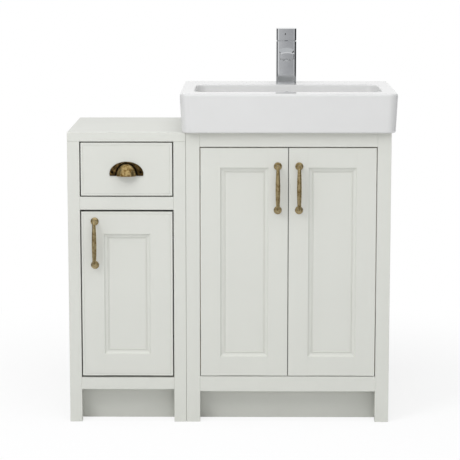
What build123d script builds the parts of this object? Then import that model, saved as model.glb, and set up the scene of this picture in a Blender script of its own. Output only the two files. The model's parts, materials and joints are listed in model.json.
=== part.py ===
from build123d import *
import math
import os

os.makedirs("parts", exist_ok=True)

# A painted bathroom vanity: a drawer-over-door cupboard stands to the left of a two-door
# cabinet that carries a ceramic basin and a mixer tap. All sizes are in millimetres.
# While it is drawn, x runs from the cupboard's left edge, y from the face of the doors
# towards the wall and z from the floor. save() then moves it so that the origin lies on
# the floor under the middle of the whole unit.

# The two carcasses
cupboard_w = 300.0
vanity_w = 520.0
unit_gap = 0.5
cabinet_h = 750.0
cabinet_d = 400.0
board_t = 18.0
frame_t = 20.0
arris = 0.8
back_t = 6.0
rebate = 8.0

# Face frames and toe space
cupboard_stile_w = 31.0
cupboard_top_t = 23.0
middle_rail_h = 33.0
drawer_opening_h = 141.0
cupboard_rail_top = 117.0
cupboard_toe_h = 86.0
vanity_stile_w = 35.0
vanity_top_rail_h = 36.0
vanity_rail_top = 120.0
vanity_toe_h = 81.0
toe_depth = 50.0
plinth_t = 16.0
wall_rail_h = 90.0
wall_rail_top_gap = 40.0
wall_bolt_r = 4.0
wall_bolt_inset = 60.0

# Shelf and its pegs
shelf_share = 0.42
shelf_setback = 6.0
shelf_play = 1.0
peg_r = 2.5
peg_sunk = 9.0
peg_out = 8.0
peg_fit = 0.05
peg_rows = 3
peg_pitch = 64.0
peg_inset = 30.0

# Doors and drawer front
door_t = 18.0
cupboard_gap = 3.0
vanity_gap = 2.0
cupboard_bottom_gap = 5.0
vanity_top_gap = 3.0
vanity_bottom_gap = 2.0
cupboard_door_flat = 57.0
vanity_door_flat = 50.0
mould_w = 9.0
mould_step = 1.4
mould_lip = 1.2
mould_arc_r = 9.9
panel_recess = 7.0
panel_t = 6.0
groove_depth = 8.0
panel_play = 0.5
bead_inset = 5.5
bead_w = 1.2
bead_depth = 0.8

# Drawer box and its ball-bearing runners
drawer_gap = 3.0
drawer_side_t = 12.0
drawer_box_h = 90.0
drawer_box_lift = 12.0
drawer_back_gap = 26.0
drawer_floor_t = 6.0
drawer_floor_up = 8.0
drawer_groove = 6.0
runner_space = 12.7
runner_h = 35.0
runner_sheet = 1.2
runner_play = 0.4
runner_setback = 4.0
packer_h = 45.0

# Concealed cup hinges
cup_r = 17.5
cup_edge = 5.0
cup_depth = 12.5
cup_wall = 0.8
cup_fit = 0.1
flange_t = 1.2
flange_rim = 2.0
flange_ear_r = 6.5
flange_ear_z = 24.0
flange_ear_x = 9.5
hinge_pin_r = 1.25
hinge_pin_y = 9.0
hinge_fit = 0.05
knuckle_r = 2.4
lug_t = 2.0
lug_w = 7.0
lug_h = 5.0
lug_play = 0.3
arm_w = 12.0
arm_t = 2.5
arm_angle = 42.5
arm_mid_angle = 55.0
arm_round = 27.0
arm_bend_r = 3.0
arm_wide_bend_r = 7.5
arm_length = 52.0
arm_flange_t = 1.5
plate_t = 2.0
plate_ridge = 5.0
plate_play = 0.3
plate_wing = 22.0
plate_wing_w = 14.0
cupboard_hinge_end = 80.0
vanity_hinge_end = 100.0
batten_d = 80.0
batten_end_gap = 5.0

# Bar handles
bar_pitch = 112.0
bar_reach = 30.0
rosette_r = 10.3
rosette_t = 3.0
bar_neck_r = 4.3
bar_mid_r = 6.3
bar_knob_r = 6.0
cupboard_bar_inset = 34.0
cupboard_bar_drop = 81.0
vanity_bar_inset = 26.0
vanity_bar_drop = 102.5

# Cup handle
cup_pull_w = 86.0
cup_pull_h = 36.0
cup_pull_up = 51.0
cup_pull_wide_up = 5.4
cup_pull_t = 3.0
cup_dome_w = 50.0
cup_dome_reach = 23.0
cup_dome_drop = 5.0
cup_dome_wall = 1.8
cup_line_w = 2.6
cup_line_depth = 1.6
cup_screw_pitch = 72.0
cup_screw_up = 9.0
cup_screw_r = 1.8
cup_screw_head_r = 3.2
cup_screw_head_t = 1.0
cup_screw_l = 14.0

# Basin
basin_side_over = 15.0
basin_over = 24.0
basin_h = 100.0
basin_corner_r = 25.0
basin_back_r = 8.0
basin_taper = 5.0
basin_top_r = 7.0
basin_foot_r = 5.0
basin_wall = 11.0
deck_t = 14.0
bowl_side_rim = 35.0
bowl_front_rim = 60.0
tap_deck_l = 129.0
bowl_depth = 106.0
bowl_slope = 16.0
bowl_corner_r = 34.0
bowl_floor_r = 24.0
bowl_rim_r = 4.0
bowl_wall = 10.0
tap_hole_r = 17.5

# Overflow ring and click-clack waste
overflow_r = 12.5
overflow_hole_r = 9.0
overflow_drop = 30.0
overflow_rim_t = 2.0
overflow_bite = 8.0
insert_fit = 0.1
waste_flange_r = 32.0
waste_flange_t = 2.5
waste_tube_r = 21.0
waste_bore_r = 18.5
waste_length = 90.0
waste_trap_l = 30.0
waste_relief_w = 3.0
waste_relief_depth = 0.8
waste_hole_fit = 1.0
plug_r = 30.0
plug_t = 3.0
plug_crown = 2.0
plug_lift = 7.0
plug_seat_gap = 0.4
plug_stem_r = 4.0
plug_stem_l = 40.0
plug_fit = 0.05
spider_arm = 4.0
spider_h = 12.0
spider_drop = 22.0
spider_bite = 0.5
nut_r = 30.0
nut_t = 10.0

# Mixer tap
tap_w = 54.0
tap_corner_r = 7.5
tap_wall_gap = 57.0
tap_body_h = 113.0
tap_handle_h = 33.0
tap_v_groove = 1.6
tap_v_gap = 0.5
spout_w = 38.0
spout_reach = 106.0
spout_root_h = 27.0
spout_tip_h = 20.0
spout_root_top = 95.0
spout_tip_top = 88.0
spout_crown = 4.0
spout_tip_r = 3.0
aerator_r = 11.5
aerator_back = 14.0
aerator_out = 4.0
aerator_in = 7.0
aerator_end_gap = 1.0
aerator_hollow = 5.0
aerator_hole_r = 8.5
stem_base_r = 17.0
stem_base_h = 14.0
stem_post = 9.0
stem_post_h = 16.0
stem_pin_r = 2.0
stem_pin_z = 11.0
stem_pin_end_gap = 1.0
stem_post_play = 0.5
stem_fit = 0.05
stem_seat_gap = 0.2
handle_wall = 6.0
handle_top_t = 7.0
handle_boss_w = 7.0
handle_boss_up = 4.0
handle_tilt = 16.0
tap_shank_r = 14.0
tap_shank_l = 60.0
inlet_r = 4.5
inlet_depth = 14.0
inlet_pitch = 13.0
tap_nut_r = 22.0
tap_nut_t = 8.0

# Places that follow from the sizes above
vanity_x0 = cupboard_w + unit_gap
vanity_x1 = vanity_x0 + vanity_w
basin_w = vanity_w + 2 * basin_side_over
basin_x = vanity_x0 + vanity_w / 2
bowl_w = basin_w - 2 * bowl_side_rim
bowl_l = cabinet_d + basin_over - bowl_front_rim - tap_deck_l
overall_w = basin_x + basin_w / 2
origin_shift = Pos(-overall_w / 2, (bar_reach - cabinet_d) / 2, 0)
side_h = cabinet_h - cupboard_top_t
middle_rail_top = side_h - drawer_opening_h
middle_rail_z0 = middle_rail_top - middle_rail_h
shelf_z = cupboard_rail_top + shelf_share * (middle_rail_z0 - cupboard_rail_top)
drawer_top = side_h - drawer_gap
drawer_z0 = middle_rail_top + drawer_gap
drawer_x0 = cupboard_stile_w + drawer_gap
drawer_x1 = cupboard_w - drawer_x0
drawer_box_l = cabinet_d - back_t - door_t - drawer_back_gap
cup_pull_z = drawer_z0 + cup_pull_up
cup_x = cup_edge + cup_r
rim_z = cabinet_h + basin_h


def box(x0, x1, y0, y1, z0, z1):
    """A block between two corners."""
    middle = Pos((x0 + x1) / 2, (y0 + y1) / 2, (z0 + z1) / 2)
    return middle * Box(x1 - x0, y1 - y0, z1 - z0)


def rod(x, y, z, axis, r, length):
    """A cylinder that starts at a point and runs along +x, +y or +z."""
    turn = {"x": Rot(0, 90, 0), "y": Rot(-90, 0, 0), "z": Rot(0, 0, 0)}[axis]
    foot = (Align.CENTER, Align.CENTER, Align.MIN)
    return Pos(x, y, z) * turn * Cylinder(r, length, align=foot)


def save(name, *solids):
    """Write one named sub-part; a set of like pieces stays separate solids in it."""
    shape = solids[0] if len(solids) == 1 else Compound(children=list(solids))
    export_step(origin_shift * shape, f"parts/{name}.step")


def mirrored(shape, x):
    """The shape's mirror image about the upright plane at x."""
    return mirror(shape, about=Plane((x, 0, 0), z_dir=(1, 0, 0)))


# Carcass boards

def stile(x0, width, height):
    """An upright of the face frame, which reaches the floor as a leg."""
    post = box(x0, x0 + width, 0, frame_t, 0, height)
    front = post.edges().filter_by(Axis.Z).group_by(Axis.Y)[0]
    return chamfer(front, arris)


def rail(x0, x1, z0, z1):
    """A cross piece of the face frame, between two uprights."""
    return box(x0, x1, 0, frame_t, z0, z1)


def side(x0, height, rebate_x0, rebate_z0):
    """A carcass side, with a rebate along its back edge for the back board."""
    board = box(x0, x0 + board_t, frame_t, cabinet_d, 0, height)
    inset = cabinet_d - back_t
    return board - box(rebate_x0, rebate_x0 + rebate, inset, cabinet_d, rebate_z0, height)


def peg_places():
    """Centres of the shelf pegs' holes: y and z, row by row."""
    rows = [shelf_z + (row - (peg_rows - 1) / 2) * peg_pitch for row in range(peg_rows)]
    depths = [shelf_y0() + peg_inset, cabinet_d - back_t - peg_inset]
    return [(y, z - peg_r) for z in rows for y in depths]


def shelf_y0():
    """The shelf's front edge, just behind the hinge battens."""
    return frame_t + batten_d + shelf_setback


def cupboard_carcass():
    left_inner = board_t
    right_inner = cupboard_w - board_t
    inset = cabinet_d - back_t
    base_z0 = cupboard_rail_top - board_t
    left = side(0, side_h, left_inner - rebate, base_z0)
    right = side(right_inner, side_h, right_inner, base_z0)
    for y, z in peg_places():
        hole_r = peg_r + peg_fit
        left -= rod(left_inner - peg_sunk, y, z, "x", hole_r, peg_sunk)
        right -= rod(right_inner, y, z, "x", hole_r, peg_sunk)
    save("cupboard_left_side", left)
    save("cupboard_right_side", right)

    top = box(0, cupboard_w, 0, cabinet_d, side_h, cabinet_h)
    save("cupboard_top", chamfer(top.edges().filter_by(Axis.X).group_by(Axis.Y)[0], arris))
    save("cupboard_left_stile", stile(0, cupboard_stile_w, side_h))
    right_stile_x = cupboard_w - cupboard_stile_w
    save("cupboard_right_stile", stile(right_stile_x, cupboard_stile_w, side_h))
    save("cupboard_middle_rail",
         rail(cupboard_stile_w, right_stile_x, middle_rail_z0, middle_rail_top))
    save("cupboard_bottom_rail",
         rail(cupboard_stile_w, right_stile_x, cupboard_toe_h, cupboard_rail_top))
    save("cupboard_base",
         box(left_inner, right_inner, frame_t, inset, base_z0, cupboard_rail_top))
    save("cupboard_plinth",
         box(left_inner, right_inner, toe_depth, toe_depth + plinth_t, 0, base_z0))
    save("cupboard_back",
         box(left_inner - rebate, right_inner + rebate, inset, cabinet_d, base_z0, side_h))
    save("cupboard_shelf",
         box(left_inner + shelf_play, right_inner - shelf_play, shelf_y0(),
             inset - shelf_play, shelf_z, shelf_z + board_t))
    pegs = []
    for y, z in peg_places():
        if abs(z + peg_r - shelf_z) < peg_r:
            pegs.append(rod(left_inner - peg_sunk, y, z, "x", peg_r, peg_sunk + peg_out))
            pegs.append(rod(right_inner - peg_out, y, z, "x", peg_r, peg_sunk + peg_out))
    save("shelf_pegs", *pegs)


def wall_rail(z0):
    """A rail across the back of the vanity, drilled for the bolts that hold it to the wall."""
    x0 = vanity_x0 + board_t
    x1 = vanity_x1 - board_t
    board = box(x0, x1, cabinet_d - board_t, cabinet_d, z0, z0 + wall_rail_h)
    for x in (x0 + wall_bolt_inset, x1 - wall_bolt_inset):
        board -= rod(x, cabinet_d - board_t, z0 + wall_rail_h / 2, "y", wall_bolt_r, board_t)
    return board


def vanity_carcass():
    left_inner = vanity_x0 + board_t
    right_inner = vanity_x1 - board_t
    base_z0 = vanity_rail_top - board_t
    for name, x0 in (("vanity_left_side", vanity_x0), ("vanity_right_side", right_inner)):
        save(name, box(x0, x0 + board_t, frame_t, cabinet_d, 0, cabinet_h))
    right_stile_x = vanity_x1 - vanity_stile_w
    left_stile_x1 = vanity_x0 + vanity_stile_w
    save("vanity_left_stile", stile(vanity_x0, vanity_stile_w, cabinet_h))
    save("vanity_right_stile", stile(right_stile_x, vanity_stile_w, cabinet_h))
    save("vanity_top_rail",
         rail(left_stile_x1, right_stile_x, cabinet_h - vanity_top_rail_h, cabinet_h))
    save("vanity_bottom_rail", rail(left_stile_x1, right_stile_x, vanity_toe_h, vanity_rail_top))
    save("vanity_base",
         box(left_inner, right_inner, frame_t, cabinet_d, base_z0, vanity_rail_top))
    save("vanity_plinth",
         box(left_inner, right_inner, toe_depth, toe_depth + plinth_t, 0, base_z0))
    upper = cabinet_h - wall_rail_top_gap - wall_rail_h
    save("vanity_wall_rails", wall_rail(upper), wall_rail(vanity_rail_top))


def packing():
    """Timber that brings the hinges and runners level with the edge of the face frame."""
    uprights = [
        (cupboard_w - cupboard_stile_w, cupboard_w - board_t, cupboard_rail_top,
         middle_rail_top),
        (vanity_x0 + board_t, vanity_x0 + vanity_stile_w, vanity_rail_top,
         cabinet_h - vanity_top_rail_h),
        (vanity_x1 - vanity_stile_w, vanity_x1 - board_t, vanity_rail_top,
         cabinet_h - vanity_top_rail_h)]
    save("hinge_battens",
         *[box(x0, x1, frame_t, frame_t + batten_d, z0 + batten_end_gap, z1 - batten_end_gap)
           for x0, x1, z0, z1 in uprights])
    z = runner_z()
    packer = box(board_t, cupboard_stile_w, frame_t, cabinet_d - back_t,
                 z - packer_h / 2, z + packer_h / 2)
    save("runner_packers", packer, mirrored(packer, cupboard_w / 2))


# Doors

def member_section(flat):
    """Cross-section of a door's frame member: moulded inner edge and groove for the panel."""
    inner = flat + mould_w
    groove_x = flat - groove_depth
    lip_y = panel_recess - mould_lip
    with BuildSketch(Plane.XY) as section:
        with BuildLine():
            Polyline((0, arris), (arris, 0), (flat, 0), (flat, mould_step))
            RadiusArc((flat, mould_step), (inner, lip_y), mould_arc_r)
            Polyline((inner, lip_y), (inner, panel_recess), (groove_x, panel_recess),
                     (groove_x, panel_recess + panel_t), (inner, panel_recess + panel_t),
                     (inner, door_t), (0, door_t), (0, arris))
        make_face()
    return section.sketch


def upright_member(height, flat):
    """A door's left stile; its moulded edge is mitred into the rails'."""
    inner = flat + mould_w
    bar = extrude(member_section(flat), height)
    outline = [(0, 0), (flat, 0), (flat, flat), (inner, inner), (inner, height - inner),
               (flat, height - flat), (flat, height), (0, height)]
    return bar & through_door(outline)


def through_door(outline):
    """A prism through the door's thickness with the given outline in x and z."""
    face = Plane((0, 0, 0), x_dir=(1, 0, 0), z_dir=(0, -1, 0)) * Polygon(*outline, align=None)
    return extrude(face, amount=-door_t)


def cross_member(width, flat):
    """A door's bottom rail, with the tenons that fill the ends of the stiles' grooves."""
    inner = flat + mould_w
    bar = extrude(member_section(flat), width)
    bar = Pos(width, 0, 0) * Rot(0, -90, 0) * bar
    outline = [(flat, 0), (width - flat, 0), (width - flat, flat), (width - inner, inner),
               (inner, inner), (flat, flat)]
    bar = bar & through_door(outline)
    tenon_y1 = panel_recess + panel_t
    tenon = box(flat - groove_depth, flat, panel_recess, tenon_y1, 0, flat - groove_depth)
    return bar + tenon + mirrored(tenon, width / 2)


def bead(width, height):
    """The fine groove that runs round a front, a little in from its edges."""
    outer = box(bead_inset, width - bead_inset, 0, bead_depth, bead_inset, height - bead_inset)
    far = bead_inset + bead_w
    return outer - box(far, width - far, 0, bead_depth, far, height - far)


def hinge_bores(height, hinge_end, hinge_at_right, width):
    """Blind bores for the hinge cups in the back of a door."""
    x = width - cup_x if hinge_at_right else cup_x
    return [rod(x, door_t - cup_depth, z, "y", cup_r, cup_depth)
            for z in (hinge_end, height - hinge_end)]


def make_door(name, x0, z0, width, height, flat, hinge_at_right, hinge_end, beaded):
    """Save a frame-and-panel door and its hinge cups."""
    place = Pos(x0, 0, z0)
    left = upright_member(height, flat)
    right = mirrored(left, width / 2)
    bottom = cross_member(width, flat)
    top = mirror(bottom, about=Plane((0, 0, height / 2), z_dir=(0, 0, 1)))
    bores = hinge_bores(height, hinge_end, hinge_at_right, width)
    if hinge_at_right:
        right = right - bores
    else:
        left = left - bores
    members = [left, right, bottom, top]
    if beaded:
        members = [member - bead(width, height) for member in members]
    save(f"{name}_stiles", place * members[0], place * members[1])
    save(f"{name}_rails", place * members[2], place * members[3])
    edge = flat - groove_depth + panel_play
    panel = box(edge, width - edge, panel_recess, panel_recess + panel_t, edge, height - edge)
    save(f"{name}_panel", place * panel)


# Concealed hinges, drawn for a door whose hinge edge is at x = 0 and which runs to +x

def hinge_cup():
    """Pressed cup with its flange and the two lugs that carry the pin."""
    floor_y = door_t - cup_depth
    shell = rod(cup_x, floor_y, 0, "y", cup_r - cup_fit, cup_depth)
    flange = rod(cup_x, door_t, 0, "y", cup_r + flange_rim, flange_t)
    for z in (-flange_ear_z, flange_ear_z):
        flange += rod(cup_x + flange_ear_x, door_t, z, "y", flange_ear_r, flange_t)
    flange += box(cup_x + flange_ear_x - flange_ear_r, cup_x + flange_ear_x + flange_ear_r,
                  door_t, door_t + flange_t, -flange_ear_z, flange_ear_z)
    inside = rod(cup_x, floor_y + cup_wall, 0, "y", cup_r - cup_fit - cup_wall,
                 cup_depth + flange_t)
    cup = shell + flange - inside
    for z0 in (arm_w / 2 + lug_play, -arm_w / 2 - lug_play - lug_t):
        cup += box(cup_x - lug_w / 2, cup_x + lug_w / 2, floor_y + cup_wall,
                   floor_y + cup_wall + lug_h, z0, z0 + lug_t)
    pin_span = arm_w + 2 * (lug_play + lug_t)
    return cup - rod(cup_x, hinge_pin_y, -pin_span / 2, "z", hinge_pin_r + hinge_fit, pin_span)


def hinge_pin():
    span = arm_w + 2 * (lug_play + lug_t)
    return rod(cup_x, hinge_pin_y, -span / 2, "z", hinge_pin_r, span)


def about_pin(radius, degrees):
    """A point at a distance and direction from the hinge pin, in plan."""
    turn = math.radians(degrees)
    return (cup_x + radius * math.cos(turn), hinge_pin_y + radius * math.sin(turn))


def hinge_arm(gap):
    """Gooseneck arm: out of the cup, round behind the door's edge, back along the plate."""
    web_x = plate_t + plate_ridge + arm_t / 2 - gap
    back_y = hinge_pin_y + arm_round
    first_turn = arm_round / math.cos(math.radians(arm_mid_angle - arm_angle))
    second = (arm_mid_angle + 90) / 2
    second_turn = arm_round / math.cos(math.radians(90 - second))
    corners = [(cup_x, hinge_pin_y), about_pin(first_turn, arm_angle),
               about_pin(second_turn, second), (web_x, back_y), (web_x, back_y + arm_length)]
    path = FilletPolyline(*corners, radius=[arm_bend_r, arm_wide_bend_r, arm_bend_r])
    start = Plane(origin=path @ 0, z_dir=path % 0, x_dir=(0, 0, 1))
    arm = sweep(start * Rectangle(arm_w, arm_t), path=path)
    arm += rod(cup_x, hinge_pin_y, -arm_w / 2, "z", knuckle_r, arm_w)
    arm -= rod(cup_x, hinge_pin_y, -arm_w / 2, "z", hinge_pin_r, arm_w)
    for z0 in (arm_w / 2, -arm_w / 2 - arm_flange_t):
        arm += box(plate_t + plate_play - gap, web_x + arm_t / 2, back_y + 3 * arm_t,
                   back_y + arm_length, z0, z0 + arm_flange_t)
    return arm


def hinge_plate(gap):
    """Winged plate, screwed to the batten, whose ridge the arm clips over."""
    y0 = hinge_pin_y + arm_round + arm_t
    y1 = y0 + arm_length - arm_t
    ridge_z = arm_w / 2 - plate_play
    plate = box(-gap, plate_t - gap, y0, y1, -ridge_z - 2 * plate_t, ridge_z + 2 * plate_t)
    wing_y = (y0 + y1) / 2
    plate += box(-gap, plate_t - gap, wing_y - plate_wing_w / 2, wing_y + plate_wing_w / 2,
                 -plate_wing, plate_wing)
    ridge_y0 = y0 + arm_t
    return plate + box(plate_t - gap, plate_t + plate_ridge - gap, ridge_y0, y1,
                       -ridge_z, ridge_z)


def make_hinges(doors):
    """Save each door's cups, and the arms, pins and plates of all the hinges."""
    arms, pins, plates = [], [], []
    for name, x0, z0, width, height, gap, at_right, hinge_end in doors:
        cups = []
        for z in (z0 + hinge_end, z0 + height - hinge_end):
            place = Pos(x0 + width if at_right else x0, 0, z)
            pieces = [hinge_cup(), hinge_arm(gap), hinge_pin(), hinge_plate(gap)]
            if at_right:
                pieces = [mirrored(piece, 0) for piece in pieces]
            cup, arm, pin, plate = [place * piece for piece in pieces]
            cups.append(cup)
            arms.append(arm)
            pins.append(pin)
            plates.append(plate)
        save(f"{name}_hinge_cups", *cups)
    save("hinge_arms", *arms)
    save("hinge_pins", *pins)
    save("hinge_plates", *plates)


# Handles

def bar_handle(x, z):
    """Turned bar on two posts; the bar swells towards its middle."""
    half = bar_pitch / 2
    bar_y = -(bar_reach - bar_mid_r)
    with BuildSketch(Plane.XZ) as section:
        with BuildLine():
            Polyline((0, -half), (bar_neck_r, -half))
            Spline((bar_neck_r, -half), (bar_neck_r, -half * 0.75), (bar_mid_r, 0),
                   (bar_neck_r, half * 0.75), (bar_neck_r, half))
            Polyline((bar_neck_r, half), (0, half), (0, -half))
        make_face()
    handle = Pos(0, bar_y, 0) * revolve(section.sketch, Axis.Z)
    for end in (-half, half):
        rosette = rod(0, -rosette_t, end, "y", rosette_r, rosette_t)
        rosette = fillet(rosette.edges().group_by(Axis.Y)[0], rosette_t * 0.6)
        handle += rosette
        handle += rod(0, bar_y, end, "y", bar_neck_r, -bar_y - rosette_t)
        handle += Pos(0, bar_y, end) * Sphere(bar_knob_r)
    return Pos(x, 0, z) * handle


def pull_outline(width, height, wide_up):
    """An oval cut off flat at its foot, a little below where it is widest."""
    with BuildSketch(Plane((0, 0, 0), x_dir=(1, 0, 0), z_dir=(0, -1, 0))) as outline:
        with Locations((0, wide_up)):
            Ellipse(width / 2, height - wide_up)
        Rectangle(width * 1.1, height, align=(Align.CENTER, Align.MAX), mode=Mode.SUBTRACT)
    return outline.sketch


def cup_handle():
    """Half-dome pull, open below, on an oval plate with a line round the dome."""
    half_dome = cup_dome_w / 2
    dome_h = cup_pull_h - cup_dome_drop
    plate = extrude(pull_outline(cup_pull_w, cup_pull_h, cup_pull_wide_up), cup_pull_t)
    rim = plate.edges().group_by(Axis.Y)[0]
    plate = chamfer(rim, cup_pull_t * 0.35)
    line = pull_outline(cup_dome_w + 2 * cup_line_w, dome_h + cup_line_w, 0)
    line -= pull_outline(cup_dome_w, dome_h, 0)
    plate -= Pos(0, cup_line_depth - cup_pull_t, 0) * extrude(line, cup_line_depth)
    outer = half_dome_solid(half_dome, cup_dome_reach, dome_h)
    wall = cup_dome_wall
    inner = half_dome_solid(half_dome - wall, cup_dome_reach - wall, dome_h - wall)
    pull = plate + outer - inner
    pull = Pos(cupboard_w / 2, 0, cup_pull_z) * pull
    screws = []
    for x in (-cup_screw_pitch / 2, cup_screw_pitch / 2):
        place = Pos(cupboard_w / 2 + x, 0, cup_pull_z + cup_screw_up)
        pull -= place * rod(0, -cup_pull_t, 0, "y", cup_screw_r, cup_pull_t)
        head_y = -cup_pull_t - cup_screw_head_t
        head = rod(0, head_y, 0, "y", cup_screw_head_r, cup_screw_head_t)
        shank = rod(0, -cup_pull_t, 0, "y", cup_screw_r, cup_screw_l)
        screws.append(place * (head + shank))
    return pull, screws


def half_dome_solid(rx, ry, rz):
    """The front upper quarter of an ellipsoid that stands on z = 0 against y = 0."""
    ball = scale(Sphere(1), by=(rx, ry, rz))
    return ball & box(-2 * rx, 2 * rx, -2 * ry, 0, 0, 2 * rz)


# Drawer

def runner_z():
    return drawer_z0 + drawer_box_lift + drawer_box_h / 2


def channel(web_x, flange_x, half_h, opens_right=True):
    """A length of C-section: an upright web and two flanges, set on the runner's axis."""
    y0 = frame_t + runner_setback
    y1 = y0 + drawer_box_l - runner_setback
    z = runner_z()
    if opens_right:
        web = box(web_x, web_x + runner_sheet, y0, y1, z - half_h, z + half_h)
    else:
        web = box(web_x - runner_sheet, web_x, y0, y1, z - half_h, z + half_h)
    low, high = sorted((web_x, flange_x))
    upper = box(low, high, y0, y1, z + half_h - runner_sheet, z + half_h)
    lower = box(low, high, y0, y1, z - half_h, z - half_h + runner_sheet)
    return web + upper + lower


def make_runners():
    x0 = cupboard_stile_w
    x1 = x0 + runner_space
    nest = runner_sheet + runner_play
    half = runner_h / 2
    sets = {
        "runner_cabinet_members": channel(x0, x1 - 3 * nest, half),
        "runner_middle_members": channel(x0 + nest, x1 - 2 * nest, half - nest),
        "runner_drawer_members": channel(x1, x0 + 2 * nest + runner_play, half - 2 * nest, False)}
    for name, member in sets.items():
        save(name, member, mirrored(member, cupboard_w / 2))


def make_drawer():
    front_h = drawer_top - drawer_z0
    front_w = drawer_x1 - drawer_x0
    front = box(0, front_w, 0, door_t, 0, front_h)
    front = chamfer(front.faces().sort_by(Axis.Y)[0].edges(), arris)
    front = Pos(drawer_x0, 0, drawer_z0) * (front - bead(front_w, front_h))
    pull, screws = cup_handle()
    for screw in screws:
        front -= screw
    save("drawer_front", front)
    save("drawer_cup_handle", pull)
    save("cup_handle_screws", *screws)

    outer = cupboard_stile_w + runner_space
    inner = outer + drawer_side_t
    z0 = drawer_z0 + drawer_box_lift
    z1 = z0 + drawer_box_h
    y1 = door_t + drawer_box_l
    floor_z0 = z0 + drawer_floor_up
    floor = box(inner - drawer_groove, cupboard_w - inner + drawer_groove, door_t, y1,
                floor_z0, floor_z0 + drawer_floor_t)
    left = box(outer, inner, door_t, y1, z0, z1) - floor
    save("drawer_sides", left, mirrored(left, cupboard_w / 2))
    save("drawer_bottom", floor)
    save("drawer_back",
         box(inner, cupboard_w - inner, y1 - drawer_side_t, y1, floor_z0 + drawer_floor_t, z1))


# Basin, waste and tap

def round_plan(x_half, y0, y1, front_r, back_r, z):
    """A rectangle in plan with one radius for its front corners and one for its back."""
    with BuildSketch(Plane((basin_x, 0, z))) as plan:
        with Locations((0, (y0 + y1) / 2)):
            Rectangle(2 * x_half, y1 - y0)
        corners = plan.vertices().group_by(Axis.Y)
        fillet(corners[0], front_r)
        fillet(plan.vertices().group_by(Axis.Y)[-1], back_r)
    return plan.sketch


def make_basin():
    half = basin_w / 2
    back = cabinet_d
    front = -basin_over
    foot = round_plan(half - basin_taper, front + basin_taper, back, basin_corner_r,
                      basin_back_r, cabinet_h)
    brim = round_plan(half, front, back, basin_corner_r, basin_back_r, rim_z)
    body = loft([foot, brim], ruled=True)
    body = fillet(body.edges().group_by(Axis.Z)[-1], basin_top_r)
    body = fillet(body.edges().group_by(Axis.Z)[0], basin_foot_r)

    bowl = bowl_solid(0)
    shell = bowl_solid(bowl_wall)
    under_half = half - basin_taper - basin_wall
    under = extrude(round_plan(under_half, front + basin_taper + basin_wall, back - basin_wall,
                               basin_corner_r - basin_wall, basin_back_r / 2, cabinet_h),
                    basin_h - deck_t)
    body = body - (under - shell)
    drop = bowl_solid(bowl_wall) & box(basin_x - half, basin_x + half, front, back,
                                       rim_z - bowl_depth - bowl_wall, cabinet_h + basin_wall)
    body = body + drop - bowl
    rim = [edge for edge in body.edges().filter_by_position(Axis.Z, rim_z - 0.01, rim_z + 0.01)
           if edge.center().Y < bowl_y1() + 1 and abs(edge.center().X - basin_x) < bowl_w / 2 + 1
           and edge.center().Y > front + basin_top_r + 2]
    body = fillet(rim, bowl_rim_r)
    tap_y = cabinet_d - tap_wall_gap
    body -= rod(basin_x, tap_y, rim_z - 2 * deck_t, "z", tap_hole_r, 3 * deck_t)
    floor_z = rim_z - bowl_depth
    body -= rod(basin_x, waste_y(), floor_z - 2 * bowl_wall, "z",
                waste_tube_r + waste_hole_fit, 3 * bowl_wall)
    body -= rod(basin_x, waste_y(), floor_z - waste_flange_t, "z",
                waste_flange_r + waste_hole_fit, 3 * waste_flange_t)
    body -= overflow_place() * rod(0, -bowl_wall, 0, "y", overflow_hole_r + insert_fit,
                                   3 * bowl_wall)
    save("basin", body)


def bowl_y1():
    return bowl_front_rim - basin_over + bowl_l


def waste_y():
    return bowl_front_rim - basin_over + bowl_l / 2


def bowl_solid(skin):
    """The bowl's hollow, or with a skin the outside of its wall."""
    y0 = bowl_front_rim - basin_over - skin
    y1 = bowl_y1() + skin
    low_z = rim_z - bowl_depth - skin
    half = bowl_w / 2 + skin
    top = round_plan(half, y0, y1, bowl_corner_r + skin, bowl_corner_r + skin, rim_z)
    low = round_plan(half - bowl_slope, y0 + bowl_slope, y1 - bowl_slope,
                     bowl_corner_r + skin, bowl_corner_r + skin, low_z)
    hollow = loft([low, top], ruled=True)
    return fillet(hollow.edges().group_by(Axis.Z)[0], bowl_floor_r + skin / 2)


def overflow_place():
    """Centre of the overflow on the bowl's leaning back wall, facing the front."""
    lean = math.atan2(bowl_slope, bowl_depth)
    y = bowl_y1() - overflow_drop * math.tan(lean)
    return Pos(basin_x, y, rim_z - overflow_drop) * Rot(-math.degrees(lean), 0, 0)


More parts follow.
